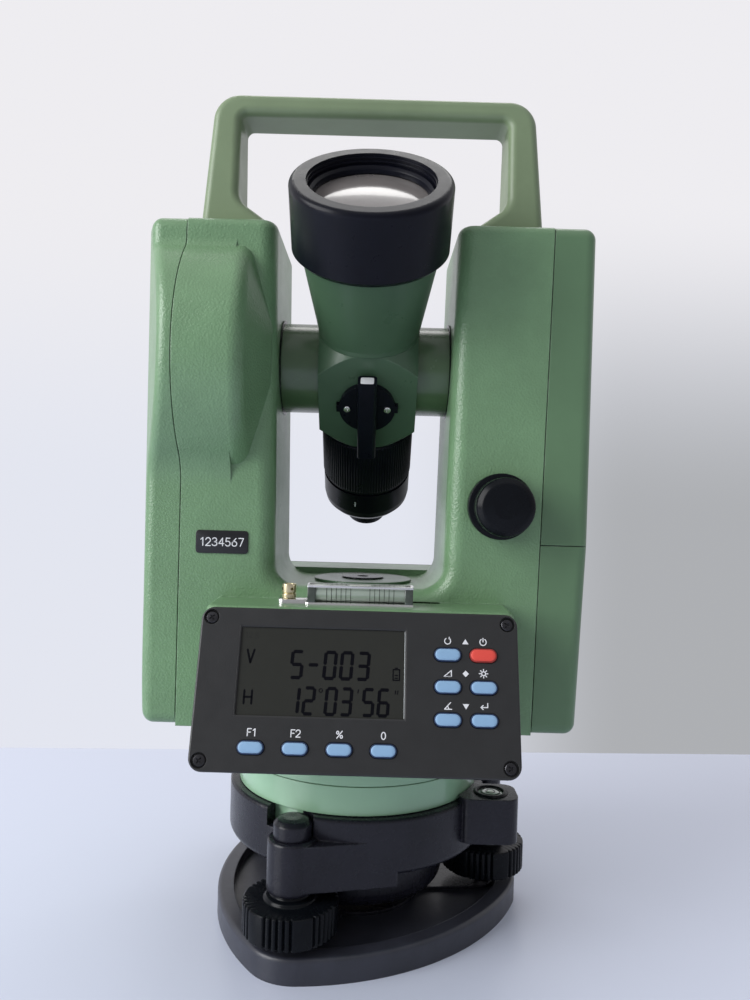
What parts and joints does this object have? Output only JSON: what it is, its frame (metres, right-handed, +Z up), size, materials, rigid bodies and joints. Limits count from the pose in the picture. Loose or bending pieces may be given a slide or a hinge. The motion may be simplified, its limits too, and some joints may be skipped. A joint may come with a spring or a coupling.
{
  "type": "theodolite",
  "caption": "Electronic theodolite on a three-screw levelling base: turning alidade with two standards, tilting telescope, sloping keypad display and carrying handle.",
  "frame": {"origin": "mouth of the tripod thread, in the middle of the underside of the base plate, on the vertical axis", "axes": "+Z up along the vertical axis, -Y towards the observer at the keypad, +X to the observer's right along the trunnion axis"},
  "size_m": [0.1727, 0.1512, 0.331],
  "materials": {
    "green_paint": "textured baked enamel, satin, fine sparkling grain",
    "handle_paint": "smooth satin olive enamel",
    "ring_paint": "smooth glossy pale green enamel",
    "black_casting": "semi-gloss black enamel on a casting",
    "panel_plastic": "fine-textured black plastic",
    "knob_black": "glossy black moulding",
    "scope_black": "satin black anodised metal",
    "lcd_glass": "dark grey-green liquid-crystal display under glass",
    "lens_glass": "coated optical glass",
    "circle_glass": "graduated glass circle",
    "level_glass": "clear level vial with bubble",
    "bright_metal": "bright plated metal",
    "screw_steel": "plated steel",
    "axis_steel": "ground steel",
    "brass": "turned brass",
    "board_green": "printed circuit board",
    "reader_black": "black moulded reader",
    "battery_sleeve": "plain cell sleeve",
    "key_blue": "soft pale blue key",
    "key_red": "soft red key"
  },
  "bodies": {
    "base": {"base_plate": "black_casting", "spring_plate": "black_casting", "tripod_bush": "brass", "tribrach_body": "black_casting", "footscrew_caps": "black_casting", "circular_level": "level_glass", "lower_housing": "ring_paint", "axis_sleeve": "axis_steel", "horizontal_circle": "circle_glass"},
    "footscrew_1": {"footscrew_1": "knob_black"},
    "footscrew_2": {"footscrew_2": "knob_black"},
    "footscrew_3": {"footscrew_3": "knob_black"},
    "alidade": {"alidade_frame": "green_paint", "left_cover": "green_paint", "right_cover": "green_paint", "handle": "handle_paint", "handle_screws": "screw_steel", "alidade_ring": "ring_paint", "vertical_spindle": "axis_steel", "front_panel": "panel_plastic", "rear_panel": "panel_plastic", "front_display": "lcd_glass", "rear_display": "lcd_glass", "circuit_board": "board_green", "panel_screws": "screw_steel", "plate_level_frame": "bright_metal", "plate_level_vial": "level_glass", "plate_level_screw": "brass", "saddle_cover": "green_paint", "trunnion_bearings": "axis_steel", "circle_reader": "reader_black"},
    "telescope": {"telescope_block": "green_paint", "objective_tube": "green_paint", "objective_hood": "scope_black", "objective_lens": "lens_glass", "eyepiece_housing": "scope_black", "trunnion_axles": "green_paint", "vertical_circle": "circle_glass", "peep_sights": "scope_black", "sight_screws": "screw_steel"},
    "focus_ring": {"focus_ring": "scope_black"},
    "focusing_lens": {"focusing_lens": "lens_glass"},
    "eyepiece": {"eyepiece": "scope_black"},
    "vertical_clamp": {"vertical_clamp": "knob_black"},
    "vertical_tangent": {"vertical_tangent": "knob_black"},
    "horizontal_clamp": {"horizontal_clamp": "knob_black"},
    "horizontal_tangent": {"horizontal_tangent": "knob_black"},
    "plummet_eyepiece": {"plummet_eyepiece": "scope_black"},
    "battery": {"battery_box": "green_paint", "battery_cells": "battery_sleeve"},
    "key_face": {"key_face": "key_blue"},
    "key_hold": {"key_hold": "key_blue"},
    "key_percent": {"key_percent": "key_blue"},
    "key_zero": {"key_zero": "key_blue"},
    "key_repeat": {"key_repeat": "key_blue"},
    "key_power": {"key_power": "key_red"},
    "key_slope": {"key_slope": "key_blue"},
    "key_light": {"key_light": "key_blue"},
    "key_angle": {"key_angle": "key_blue"},
    "key_enter": {"key_enter": "key_blue"}
  },
  "joints": [
    {"name": "footscrew_1_turn", "type": "hinge", "parent": "base", "child": "footscrew_1", "pos_m": [-0.02217, -0.04979, 0], "axis": [0, 0, 1], "range_deg": [-1080, 1080]},
    {"name": "footscrew_2_turn", "type": "hinge", "parent": "base", "child": "footscrew_2", "pos_m": [0.0542, 0.0057, 0], "axis": [0, 0, 1], "range_deg": [-1080, 1080]},
    {"name": "footscrew_3_turn", "type": "hinge", "parent": "base", "child": "footscrew_3", "pos_m": [-0.03203, 0.04409, 0], "axis": [0, 0, 1], "range_deg": [-1080, 1080]},
    {"name": "alidade_turn", "type": "hinge", "parent": "base", "child": "alidade", "pos_m": [0, 0, 0.07], "axis": [0, 0, 1], "continuous": true},
    {"name": "telescope_tilt", "type": "hinge", "parent": "alidade", "child": "telescope", "pos_m": [0, 0, 0.2214], "axis": [1, 0, 0], "continuous": true},
    {"name": "focus_turn", "type": "hinge", "parent": "telescope", "child": "focus_ring", "pos_m": [0, 0, 0.2214], "axis": [0, -0.682, 0.7314], "range_deg": [-150, 150]},
    {"name": "focus_travel", "type": "slide", "parent": "telescope", "child": "focusing_lens", "axis": [0, -0.682, 0.7314], "range_m": [-0.006, 0.006]},
    {"name": "eyepiece_turn", "type": "hinge", "parent": "telescope", "child": "eyepiece", "pos_m": [0, 0, 0.2214], "axis": [0, -0.682, 0.7314], "range_deg": [-180, 180]},
    {"name": "vertical_clamp_turn", "type": "hinge", "parent": "alidade", "child": "vertical_clamp", "pos_m": [0.0516, -0.031, 0.1665], "axis": [0, -1, 0], "range_deg": [-60, 30]},
    {"name": "vertical_tangent_turn", "type": "hinge", "parent": "alidade", "child": "vertical_tangent", "pos_m": [0.0516, -0.031, 0.1665], "axis": [0, -1, 0], "range_deg": [-1080, 1080]},
    {"name": "horizontal_clamp_turn", "type": "hinge", "parent": "alidade", "child": "horizontal_clamp", "pos_m": [0.0516, 0.031, 0.156], "axis": [0, 1, 0], "range_deg": [-60, 30]},
    {"name": "horizontal_tangent_turn", "type": "hinge", "parent": "alidade", "child": "horizontal_tangent", "pos_m": [0.0516, 0.031, 0.156], "axis": [0, 1, 0], "range_deg": [-1080, 1080]},
    {"name": "plummet_focus_turn", "type": "hinge", "parent": "alidade", "child": "plummet_eyepiece", "pos_m": [0, 0.048, 0.0715], "axis": [0, 1, 0], "range_deg": [-120, 120]},
    {"name": "battery_slide", "type": "slide", "parent": "alidade", "child": "battery", "axis": [1, 0, 0], "range_m": [0, 0.03]},
    {"name": "key_face_press", "type": "slide", "parent": "alidade", "child": "key_face", "axis": [0, 0.9373, -0.3486], "range_m": [0, 0.0006], "stiffness_N_per_m": 400},
    {"name": "key_hold_press", "type": "slide", "parent": "alidade", "child": "key_hold", "axis": [0, 0.9373, -0.3486], "range_m": [0, 0.0006], "stiffness_N_per_m": 400},
    {"name": "key_percent_press", "type": "slide", "parent": "alidade", "child": "key_percent", "axis": [0, 0.9373, -0.3486], "range_m": [0, 0.0006], "stiffness_N_per_m": 400},
    {"name": "key_zero_press", "type": "slide", "parent": "alidade", "child": "key_zero", "axis": [0, 0.9373, -0.3486], "range_m": [0, 0.0006], "stiffness_N_per_m": 400},
    {"name": "key_repeat_press", "type": "slide", "parent": "alidade", "child": "key_repeat", "axis": [0, 0.9373, -0.3486], "range_m": [0, 0.0006], "stiffness_N_per_m": 400},
    {"name": "key_power_press", "type": "slide", "parent": "alidade", "child": "key_power", "axis": [0, 0.9373, -0.3486], "range_m": [0, 0.0006], "stiffness_N_per_m": 400},
    {"name": "key_slope_press", "type": "slide", "parent": "alidade", "child": "key_slope", "axis": [0, 0.9373, -0.3486], "range_m": [0, 0.0006], "stiffness_N_per_m": 400},
    {"name": "key_light_press", "type": "slide", "parent": "alidade", "child": "key_light", "axis": [0, 0.9373, -0.3486], "range_m": [0, 0.0006], "stiffness_N_per_m": 400},
    {"name": "key_angle_press", "type": "slide", "parent": "alidade", "child": "key_angle", "axis": [0, 0.9373, -0.3486], "range_m": [0, 0.0006], "stiffness_N_per_m": 400},
    {"name": "key_enter_press", "type": "slide", "parent": "alidade", "child": "key_enter", "axis": [0, 0.9373, -0.3486], "range_m": [0, 0.0006], "stiffness_N_per_m": 400}
  ],
  "couplings": [
    {"joint": "focus_travel", "follows": "focus_turn", "m_per_rad": 0.0022918}
  ]
}
